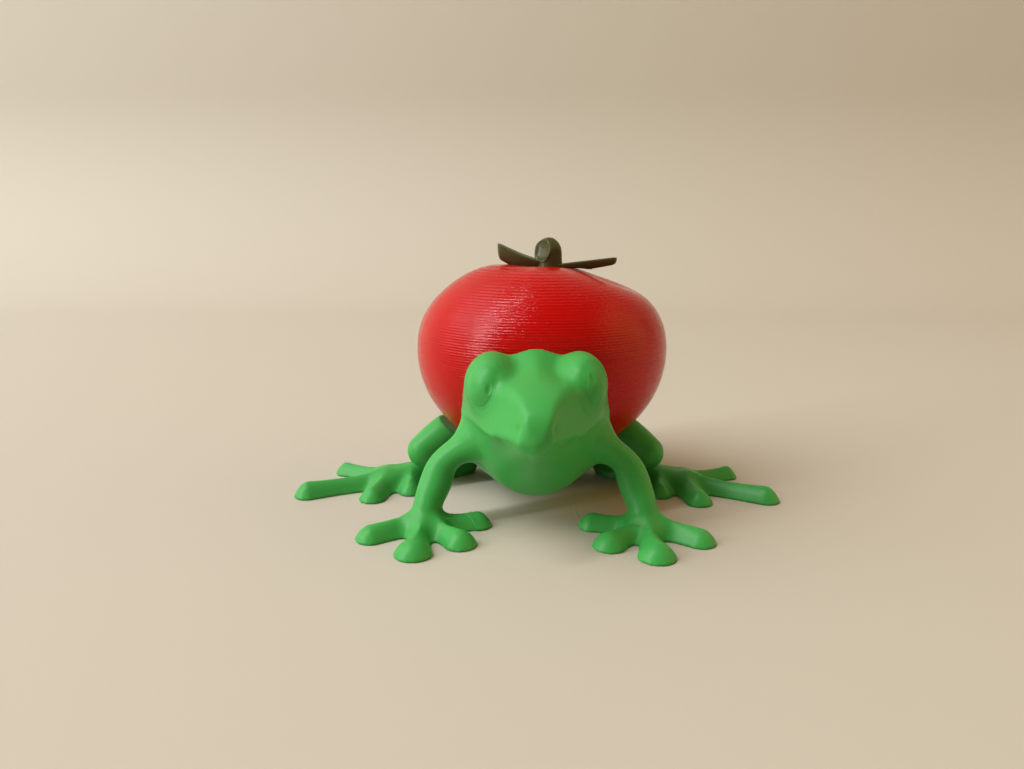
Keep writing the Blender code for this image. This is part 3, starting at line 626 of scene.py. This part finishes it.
def normals_of(points, faces):
    """Unit normals at the points, from the diagonals of the faces round them."""
    corner = points[faces]
    across = np.cross(corner[:, 2] - corner[:, 0], corner[:, 3] - corner[:, 1])
    total = summed(faces.ravel(), np.repeat(across, 4, axis=0), len(points))
    return total / np.maximum(np.linalg.norm(total, axis=1, keepdims=True), 1e-12)


def turn_head(points):
    """Turn the head a little about an upright axis, fading to nothing at the neck and the throat."""
    forward = ease((NECK_FADE_Y[0] - points[..., 1]) / NECK_FADE_Y[1])
    upward = ease((points[..., 2] - NECK_FADE_Z[0]) / NECK_FADE_Z[1])
    share = HEAD_TURN * forward * upward
    moved = points.copy()
    moved[..., 0] -= share * (points[..., 1] - HEAD_PIVOT_Y)
    moved[..., 1] += share * points[..., 0]
    return moved


def eye_axes(side):
    """Outward direction of an eye, and the two directions across it (level away from the nose, and up)."""
    out = np.array(EYE_OUT, float)
    out[0] *= side
    out /= np.linalg.norm(out)
    level = np.cross((0, 0, 1), out) * side
    level /= np.linalg.norm(level)
    up = np.array((0, 0, 1)) - out * out[2]
    return out, level, up / np.linalg.norm(up)


def press_face(points, faces):
    """Press the eye sockets and nostrils into the skin, as soft rings and dots of depth."""
    normal = normals_of(points, faces)
    depth = np.zeros(len(points))
    for side in (1, -1):
        out, level, up = eye_axes(side)
        centre = np.array(EYES[side])
        away = points - centre
        ring = (np.hypot(away @ level / EYE_RADII[0], away @ up / EYE_RADII[1]) - 1) * EYE_RADII[0]
        near = (np.abs(away @ out) < EYE_REACH) & (normal @ out > EYE_FACING)
        groove = np.exp(-(ring / EYE_GROOVE_WIDTH) ** 2)
        bowl = 1 / (1 + np.exp((ring + EYE_SINK_EDGE[0]) / EYE_SINK_EDGE[1]))
        depth += near * (EYE_GROOVE * groove * (1 - bowl) + EYE_SINK * bowl)
        nostril = np.linalg.norm(points - np.array((NOSTRIL[0] * side, NOSTRIL[1], NOSTRIL[2])), axis=1)
        depth += NOSTRIL_DEPTH * np.exp(-(nostril / NOSTRIL_RADIUS) ** 2)
    return points - normal * depth[:, None]


def mesh_object(name, points, faces):
    """Smooth mesh object at the origin from points in millimetres and faces of one size."""
    mesh = bpy.data.meshes.new(name)
    points = np.asarray(points) * MM
    faces = np.asarray(faces)
    mesh.vertices.add(len(points))
    mesh.vertices.foreach_set("co", points.ravel().astype(np.float32))
    sides = faces.shape[1]
    mesh.loops.add(faces.size)
    mesh.loops.foreach_set("vertex_index", faces.ravel().astype(np.int32))
    mesh.polygons.add(len(faces))
    mesh.polygons.foreach_set("loop_start", np.arange(0, faces.size, sides, dtype=np.int32))
    mesh.polygons.foreach_set("use_smooth", np.full(len(faces), True))
    mesh.update(calc_edges=True)
    mesh.validate()
    obj = bpy.data.objects.new(name, mesh)
    bpy.context.scene.collection.objects.link(obj)
    return obj


def thinned(obj, triangles):
    """The same piece with its triangles thinned where the surface is plain."""
    obj.data.calc_loop_triangles()
    now = len(obj.data.loop_triangles)
    if now <= triangles:
        return obj
    thin = obj.modifiers.new("Decimate", "DECIMATE")
    thin.ratio = triangles / now
    bpy.context.view_layer.update()
    graph = bpy.context.evaluated_depsgraph_get()
    mesh = bpy.data.meshes.new_from_object(obj.evaluated_get(graph))
    obj.modifiers.clear()
    obj.data = mesh
    mesh.polygons.foreach_set("use_smooth", np.full(len(mesh.polygons), True))
    return obj


def make_skin(clay):
    """The frog's one skin: evened out, with the face pressed in and the head turned."""
    points, faces = skin_of(clay)
    points = relax(points, faces)
    points = turn_head(press_face(points, faces))
    return thinned(mesh_object("frog_skin", points, faces), SKIN_TRIANGLES)


def closed_rings(rings):
    """Triangles between neighbouring rings of points, and a fan round the mean of each end ring. They face
    outwards where a ring runs like the fingers of a right hand whose thumb points at the next ring."""
    rows, columns = rings.shape[:2]
    points = rings.reshape(-1, 3)
    points = np.concatenate([points, [rings[0].mean(axis=0), rings[-1].mean(axis=0)]])
    step = np.arange(columns)
    after = (step + 1) % columns
    row = np.arange(rows - 1)[:, None] * columns
    corners = [row + step, row + after, row + columns + after, row + columns + step]
    a, b, c, d = (corner.ravel() for corner in corners)
    base = (rows - 1) * columns
    start = np.stack([np.full(columns, rows * columns), after, step], axis=-1)
    end = np.stack([np.full(columns, rows * columns + 1), base + step, base + after], axis=-1)
    return points, np.concatenate([np.stack([a, b, c], axis=-1), np.stack([a, c, d], axis=-1), start, end])


def joined(parts):
    """One set of points and faces from several."""
    offsets = np.cumsum([0] + [len(points) for points, _ in parts[:-1]])
    points = np.concatenate([points for points, _ in parts])
    return points, np.concatenate([faces + offset for (_, faces), offset in zip(parts, offsets)])


def make_eye(clay, side_name, side):
    """Eyeball: rings r on the head's own surface, found along the eye's direction, swollen by
    b (1 - (r/R)^2) and let down at the rim into the groove, with an upright oval pupil pressed in."""
    out, level, up = eye_axes(side)
    centre = np.array(EYES[side])
    r = np.concatenate([*(np.linspace(*span) for span in EYE_RINGS), np.ones(len(EYE_SKIRT))])
    turn = full_turn(EYE_COLUMNS)
    across = EYE_RADII[0] * r[:, None] * np.cos(turn)
    above = EYE_RADII[1] * r[:, None] * np.sin(turn)
    flat = centre + across[..., None] * level + above[..., None] * up
    reach = np.linspace(*EYE_SEARCH)
    field = clay.at(flat[:, :, None] + reach[:, None] * out)
    hit = np.argmax(field < 0, axis=2)
    before = np.take_along_axis(field, np.maximum(hit - 1, 0)[..., None], 2)[..., 0]
    after = np.take_along_axis(field, hit[..., None], 2)[..., 0]
    height = reach[hit] + (reach[0] - reach[1]) * (-after) / (before - after + 1e-9)
    height = height - EYE_DROP + EYE_BULGE * (1 - r ** 2)[:, None]
    rim = np.clip((r - EYE_GROOVE_FROM) / (1 - EYE_GROOVE_FROM), 0, 1)
    height -= (EYE_GROOVE * rim ** 2)[:, None]
    height[-len(EYE_SKIRT):] -= np.array(EYE_SKIRT)[:, None]
    pupil_x, pupil_z = PUPILS[side]
    pupil = np.hypot((across - pupil_x) / PUPIL_RADII[0], (above - pupil_z) / PUPIL_RADII[1])
    height -= PUPIL_DEPTH * np.exp(-pupil ** 4)
    points, faces = closed_rings(turn_head(flat + height[..., None] * out))
    return mesh_object(f"eye_{side_name}_dome", points, faces[:, ::-side])


def make_tomato():
    """Rows at even steps of height (a sixth of a printed layer) on the sides and even steps inwards near the
    poles. Each layer stands out as a bead, b sqrt(1 - (2 f - 1)^2) with f the share of the way up it, where
    the wall is steep, and lies as a terrace where it is shallow: u^2 (3 - 2 u) with u = f / riser."""
    fine = np.linspace(0, np.pi, 20001)
    outline = tomato_surface((np.sin(fine) * 0, -np.sin(fine), np.cos(fine)))
    drop = np.abs(np.diff(outline[:, 2])) / (LAYER / ROWS_PER_LAYER)
    inward = np.abs(np.diff(outline[:, 1])) / POLE_STEP
    pace = np.concatenate([[0], np.cumsum(np.maximum(drop, inward))])
    even = np.linspace(POLE_INSET, pace[-1] - POLE_INSET, int(pace[-1]))
    tilt = np.interp(even, pace, fine)[:, None]
    turn = full_turn(TOMATO_COLUMNS)[None, :]
    direction = (np.sin(tilt) * np.sin(turn), -np.sin(tilt) * np.cos(turn), np.cos(tilt) + 0 * turn)
    place = tomato_surface(direction)
    share = np.mod(place[..., 2] / LAYER, 1.0)
    steep = np.gradient(place[..., 2], axis=0)
    run = np.hypot(np.gradient(place[..., 0], axis=0), np.gradient(place[..., 1], axis=0))
    steep = steep ** 2 / (steep ** 2 + run ** 2 + 1e-9)
    bead = BEAD_DEPTH * steep * np.sqrt(1 - (2 * share - 1) ** 2)
    waves = [np.sin(turns * turn + place[..., 2] * climb) for turns, climb in WANDER_WAVES]
    wander = 1 + BEAD_WANDER * waves[0] * waves[1]
    place[..., 0] += bead * wander * np.sin(turn)
    place[..., 1] -= bead * wander * np.cos(turn)
    rise = ease(share / RISER) - share - 0.5 * (1 - RISER)
    away = np.mod(np.degrees(turn) - CRISP_DEG[0] + 180, 360) - 180
    crisp = CRISP_LEAST + (1 - CRISP_LEAST) * np.exp(-(away / CRISP_DEG[1]) ** 2)
    place[..., 2] += TERRACE * crisp * LAYER * (1 - steep) * rise
    points, faces = closed_rings(place)
    return mesh_object("tomato_body", points, faces[:, ::-1])


def make_stem():
    """Bent stub: ribbed rings about a path, each square to its own facing; the cut end is drawn in to a
    rim and dished."""
    knots = np.linspace(0, 1, len(STEM))
    at = np.linspace(0, 1, STEM_ROWS)
    path = curve(knots, STEM, at)
    facing = unit(curve(knots, STEM_FACING, at))
    girth = curve(knots, np.transpose((STEM_ACROSS, STEM_ALONG)), at)
    shrink, past = (np.array(column)[:, None] for column in zip(*STEM_END))
    path = np.concatenate([path, path[-1] + facing[-1] * past])
    girth = np.concatenate([girth, girth[-1] * shrink])
    facing = np.concatenate([facing, np.repeat(facing[-1:], len(STEM_END), axis=0)])
    turn = full_turn(STEM_COLUMNS)
    side = np.cross(facing, STEM_AHEAD) + STEM_BESIDE
    side = unit(side - facing * np.sum(side * facing, axis=1, keepdims=True))
    up = np.cross(side, facing)
    height, number, start = STEM_LUMPS
    lumps = 1 + height * np.sin(number * turn + start)
    across = girth[:, :1] * lumps * np.cos(turn)
    along = girth[:, 1:] * lumps * np.sin(turn)
    rings = path[:, None] + across[..., None] * side[:, None] - along[..., None] * up[:, None]
    return mesh_object("stem_stub", *closed_rings(rings))


def tomato_height(x, y):
    """Height of the tomato's upper side over a spot, without its furrows: the surface's own formula turned
    round, with reach = r / R."""
    reach = np.clip(np.hypot(x - TOMATO_X, y - TOMATO_Y) / TOMATO_RADIUS, 0, 1)
    level = np.sqrt(1 - reach ** UPPER_POWER) ** (2 / UPPER_POWER)
    return (TOMATO_Z + TOMATO_RISE * level
            - TOMATO_DIMPLE * np.exp(-(reach * TOMATO_RADIUS / DIMPLE_RADIUS) ** 2))


def make_leaf(turn_deg, length, rise, half_width, depth):
    """Leaf of the calyx: rings across its length, width w cos a, an upper face that is hollow along the
    middle, and an underside that sinks only a little into the tomato. Its half width is
    w = h (p + q t + r t^2) at the share t of its length, rounded off at the tip."""
    tip = np.linspace(0, np.pi / 2, LEAF_TIP_ROWS[1])[1:]
    along = np.concatenate([np.linspace(0, *LEAF_EVEN_ROWS), 1 - LEAF_TIP_ROWS[0] * np.cos(tip)])
    turn = math.radians(turn_deg)
    out = np.array((math.sin(turn), -math.cos(turn), 0.0))
    beside = np.array((math.cos(turn), math.sin(turn), 0.0))
    knots = (0, 0.5, 1)
    into_tip = np.clip((along - (1 - LEAF_TIP)) / LEAF_TIP, 0, 1)
    blunt = np.sqrt(np.clip(1 - into_tip ** 2, 0.02, 1))
    p, q, r = LEAF_SHAPE
    wide = half_width * (p + q * along + r * along ** 2) * blunt
    top = CALYX[2] + spline(knots, rise, along)
    deep = spline(knots, depth, along) * (LEAF_TIP_DEPTH + (1 - LEAF_TIP_DEPTH) * blunt)
    a = full_turn(LEAF_COLUMNS)[None, :]
    is_upper = np.sin(a) > 0
    lateral = wide[:, None] * np.cos(a)
    edge = np.cos(a) ** 2
    cup = LEAF_CUP * edge * (wide / half_width)[:, None]
    upper = LEAF_CREST * np.sin(a) - LEAF_VEIN[0] * np.exp(-(np.cos(a) / LEAF_VEIN[1]) ** 2)
    lower = deep[:, None] * np.sin(a) * (1 - LEAF_EDGE_THIN * edge)
    height = top[:, None] + np.where(is_upper, upper, lower) + cup
    x = CALYX[0] + out[0] * length * along[:, None] + beside[0] * lateral
    y = CALYX[1] + out[1] * length * along[:, None] + beside[1] * lateral
    height = np.maximum(height, tomato_height(x, y) - np.where(is_upper, *LEAF_SUNK))
    return closed_rings(np.stack([x, y, height], axis=-1))


def make_calyx():
    return mesh_object("calyx_leaves", *joined([make_leaf(*leaf) for leaf in LEAVES]))


def make_threads():
    """Thin closed tubes along the parabola through each thread's three points, pointed at both ends:
    p(t) = (1-t)^2 a + 2 t (1-t) c + t^2 b with c = 2 m - (a + b) / 2, radius R sqrt(1 - (2 t - 1)^4)."""
    t = np.linspace(0.01, 0.99, THREAD_ROWS)[:, None]
    turn = full_turn(THREAD_COLUMNS)[None, :, None]
    parts = []
    for start, middle, end in np.array(THREADS):
        pull = 2 * middle - (start + end) / 2
        path = (1 - t) ** 2 * start + 2 * t * (1 - t) * pull + t ** 2 * end
        along = unit(np.gradient(path, axis=0))
        beside = unit(np.cross(along, THREAD_BESIDE))
        over = np.cross(along, beside)
        radius = (THREAD_RADIUS * np.sqrt(1 - (2 * t - 1) ** 4))[..., None]
        rings = path[:, None] + radius * (np.cos(turn) * beside[:, None] + np.sin(turn) * over[:, None])
        parts.append(closed_rings(rings))
    return mesh_object("print_threads", *joined(parts))


def new_material(name):
    material = bpy.data.materials.new(name)
    material.use_nodes = True
    return material, material.node_tree, material.node_tree.nodes["Principled BSDF"]


def math_node(tree, operation, *terms):
    """Output of a math node over the terms, each a number or another node's output."""
    node = tree.nodes.new("ShaderNodeMath")
    node.operation = operation
    for socket, term in zip(node.inputs, terms):
        if isinstance(term, (int, float)):
            socket.default_value = term
        else:
            tree.links.new(term, socket)
    return node.outputs[0]


def noise_node(tree, place, scale, detail):
    """Output of a noise over the object's own coordinates."""
    node = tree.nodes.new("ShaderNodeTexNoise")
    node.inputs["Scale"].default_value = scale
    node.inputs["Detail"].default_value = detail
    tree.links.new(place, node.inputs["Vector"])
    return node.outputs["Fac"]


def layer_lines_group():
    """Height of the printed layers: waves of the given pitch up the object, bent a little by noise."""
    group = bpy.data.node_groups.new("Layer lines", "ShaderNodeTree")
    face = group.interface
    pitch = face.new_socket(name="Pitch", in_out="INPUT", socket_type="NodeSocketFloat")
    pitch.default_value = LAYER * MM
    wobble = face.new_socket(name="Wobble", in_out="INPUT", socket_type="NodeSocketFloat")
    wobble.default_value = LAYER_WOBBLE
    face.new_socket(name="Height", in_out="OUTPUT", socket_type="NodeSocketFloat")
    entry = group.nodes.new("NodeGroupInput")
    leave = group.nodes.new("NodeGroupOutput")
    place = group.nodes.new("ShaderNodeTexCoord").outputs["Object"]
    split = group.nodes.new("ShaderNodeSeparateXYZ")
    group.links.new(place, split.inputs[0])
    noise = noise_node(group, place, *LAYER_NOISE)
    bent = math_node(group, "MULTIPLY_ADD", noise, entry.outputs["Wobble"], split.outputs["Z"])
    layers = math_node(group, "DIVIDE", bent, entry.outputs["Pitch"])
    wave = math_node(group, "SINE", math_node(group, "MULTIPLY", layers, 2 * math.pi))
    height = math_node(group, "MULTIPLY_ADD", wave, 0.5, 0.5)
    group.links.new(height, leave.inputs["Height"])
    return group


def plastic(name, group, light, dark, roughness, specular, depth, speckle, subsurface):
    """Printed plastic in two close shades, with fine speckle and layer lines on its surface."""
    material, tree, shader = new_material(name)
    lines = tree.nodes.new("ShaderNodeGroup")
    lines.node_tree = group
    place = tree.nodes.new("ShaderNodeTexCoord").outputs["Object"]
    grain = noise_node(tree, place, *GRAIN_NOISE)
    bump = tree.nodes.new("ShaderNodeBump")
    bump.inputs["Distance"].default_value = depth
    bump.inputs["Strength"].default_value = 1.0
    height = math_node(tree, "MULTIPLY_ADD", grain, speckle, lines.outputs["Height"])
    tree.links.new(height, bump.inputs["Height"])
    tree.links.new(bump.outputs["Normal"], shader.inputs["Normal"])
    mix = tree.nodes.new("ShaderNodeMix")
    mix.data_type = "RGBA"
    mix.inputs["A"].default_value = (*dark, 1)
    mix.inputs["B"].default_value = (*light, 1)
    tree.links.new(noise_node(tree, place, *TINT_NOISE), mix.inputs["Factor"])
    tree.links.new(mix.outputs["Result"], shader.inputs["Base Color"])
    shader.inputs["Roughness"].default_value = roughness
    shader.inputs["Specular IOR Level"].default_value = specular
    shader.inputs["Subsurface Weight"].default_value = subsurface
    shader.inputs["Subsurface Radius"].default_value = SUBSURFACE_RADIUS
    shader.inputs["Subsurface Scale"].default_value = SUBSURFACE_SCALE
    return material


def flat_material(name, color, roughness):
    material, _, shader = new_material(name)
    shader.inputs["Base Color"].default_value = (*color, 1)
    shader.inputs["Roughness"].default_value = roughness
    return material


def set_camera():
    """Phone camera, tipped down, with the frog's middle plane in its own column of the picture."""
    data = bpy.data.cameras.new("Camera")
    camera = bpy.data.objects.new("Camera", data)
    bpy.context.scene.collection.objects.link(camera)
    data.sensor_width = SENSOR_WIDTH
    data.lens = FOCAL_PIXELS / PHOTO_WIDTH * SENSOR_WIDTH
    data.clip_start = NEAREST_SEEN
    turn = math.atan((TOY_PIXEL_X - PHOTO_WIDTH / 2) / FOCAL_PIXELS)
    camera.location = (0, -CAMERA_DISTANCE * MM, CAMERA_HEIGHT * MM)
    camera.rotation_euler = (math.radians(90 - CAMERA_PITCH_DEG), 0, turn)
    bpy.context.scene.camera = camera


def area_light(name, azimuth_deg, elevation_deg, distance, width, height, power, color):
    """Rectangular light that looks at the toy from an azimuth and an elevation."""
    data = bpy.data.lights.new(name, "AREA")
    data.shape = "RECTANGLE"
    data.size = width
    data.size_y = height
    data.energy = power
    data.color = color
    light = bpy.data.objects.new(name, data)
    a = math.radians(azimuth_deg)
    e = math.radians(elevation_deg)
    away = Vector((math.sin(a) * math.cos(e), -math.cos(a) * math.cos(e), math.sin(e)))
    light.location = away * distance + Vector((0, 0, LAMP_AIM_Z))
    light.rotation_euler = away.to_track_quat("Z", "Y").to_euler()
    bpy.context.scene.collection.objects.link(light)


def set_stage():
    """Floor and backdrop in one sheet: level, then a quarter round, then upright behind the toy."""
    arc = np.linspace(0, np.pi / 2, SWEEP_STEPS)
    run = np.concatenate([[-STAGE_REACH], SWEEP_Y + SWEEP_RADIUS * np.sin(arc), [SWEEP_Y + SWEEP_RADIUS]])
    rise = np.concatenate([[0], SWEEP_RADIUS * (1 - np.cos(arc)), [STAGE_REACH]])
    left = np.stack([np.full(len(run), -STAGE_REACH), run, rise], axis=1)
    points = np.concatenate([left, left * (-1, 1, 1)])
    row = np.arange(len(run) - 1)
    faces = np.stack([row, row + len(run), row + len(run) + 1, row + 1], axis=1)
    floor = mesh_object("floor", points, faces)
    floor.data.materials.append(flat_material("pale_floor", FLOOR_COLOR, FLOOR_ROUGHNESS))


def set_light():
    """Warm dim sky, a narrow and a broad window light at the frog's right and a warm fill at its left."""
    world = bpy.data.worlds.new("Studio")
    bpy.context.scene.world = world
    world.use_nodes = True
    sky = world.node_tree.nodes["Background"]
    sky.inputs["Color"].default_value = SKY_COLOR
    sky.inputs["Strength"].default_value = SKY_STRENGTH
    for lamp in LAMPS:
        area_light(*lamp)
    bpy.context.scene.view_settings.view_transform = "Standard"


def main():
    set_camera()
    set_stage()
    set_light()
    group = layer_lines_group()
    green = plastic("green_print", group, **GREEN_PRINT)
    red = plastic("red_print", group, **RED_PRINT)
    dark = plastic("dark_print", group, **DARK_PRINT)
    clay = frog_clay()
    skin = make_skin(clay)
    skin.data.materials.append(green)
    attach(skin, "root")
    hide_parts(*FLESH)
    for side_name, side in (("left", 1), ("right", -1)):
        eye = make_eye(clay, side_name, side)
        eye.data.materials.append(green)
        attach(eye, "root")
        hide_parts(f"eye_{side_name}")
    threads = make_threads()
    threads.data.materials.append(green)
    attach(threads, "root")
    tomato = make_tomato()
    tomato.data.materials.append(red)
    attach(tomato, "root")
    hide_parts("tomato")
    for piece, node in ((make_calyx(), "calyx"), (make_stem(), "stem")):
        piece.data.materials.append(dark)
        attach(piece, "root")
        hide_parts(node)


main()
